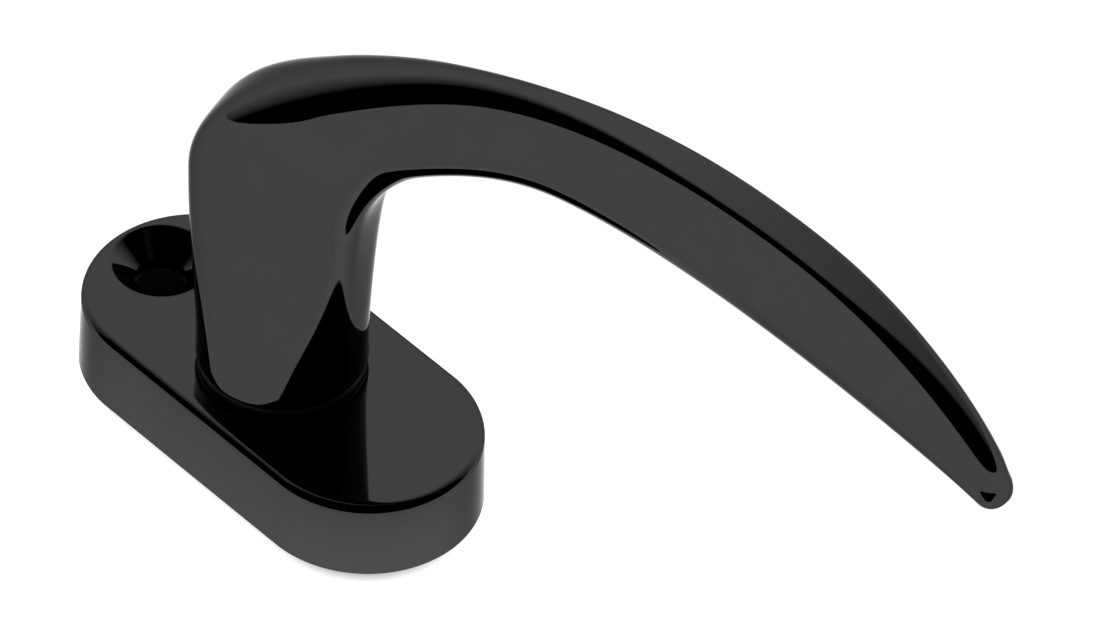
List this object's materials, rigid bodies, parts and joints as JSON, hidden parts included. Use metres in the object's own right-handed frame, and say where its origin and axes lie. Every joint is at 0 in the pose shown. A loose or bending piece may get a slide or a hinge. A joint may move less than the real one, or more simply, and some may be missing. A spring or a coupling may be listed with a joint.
{
  "type": "tilt turn window handle",
  "caption": "Window handle with a curved sabre lever on a round neck, an obround rosette with a dished fixing hole, and a square spindle socket.",
  "frame": {"origin": "on the spindle axis, in the face of the sash that the rosette sits on", "axes": "+Z into the room along the spindle axis, +X along the rosette, towards the end that the lever covers when the window is closed"},
  "size_m": [0.1169, 0.0481, 0.0695],
  "materials": {
    "gloss_black_lacquer": "glossy black",
    "black_nylon": "satin moulded",
    "cast_zinc": "as cast",
    "plated_steel": "zinc plated",
    "spring_steel": "oiled spring steel"
  },
  "bodies": {
    "rosette": {"rosette_cover": "gloss_black_lacquer", "base_plate": "cast_zinc", "back_plate": "plated_steel", "back_plate_screw_1": "spring_steel", "back_plate_screw_2": "spring_steel", "back_plate_screw_3": "spring_steel", "back_plate_screw_4": "spring_steel", "fixing_pip_left": "black_nylon", "fixing_pip_right": "black_nylon", "cover_clip_left": "spring_steel", "cover_clip_right": "spring_steel", "click_ball_left": "plated_steel", "click_ball_right": "plated_steel", "click_spring_left": "spring_steel", "click_spring_right": "spring_steel", "bearing_bush": "black_nylon", "thrust_washer": "plated_steel"},
    "handle": {"lever_handle": "gloss_black_lacquer", "drive_sleeve": "plated_steel", "click_cam": "cast_zinc", "circlip": "spring_steel", "wave_washer": "spring_steel", "spindle_grip_spring": "spring_steel"}
  },
  "joints": [
    {"name": "handle_turn", "type": "hinge", "parent": "rosette", "child": "handle", "pos_m": [0, 0, 0], "axis": [0, 0, 1], "range_deg": [-20, 160]}
  ]
}
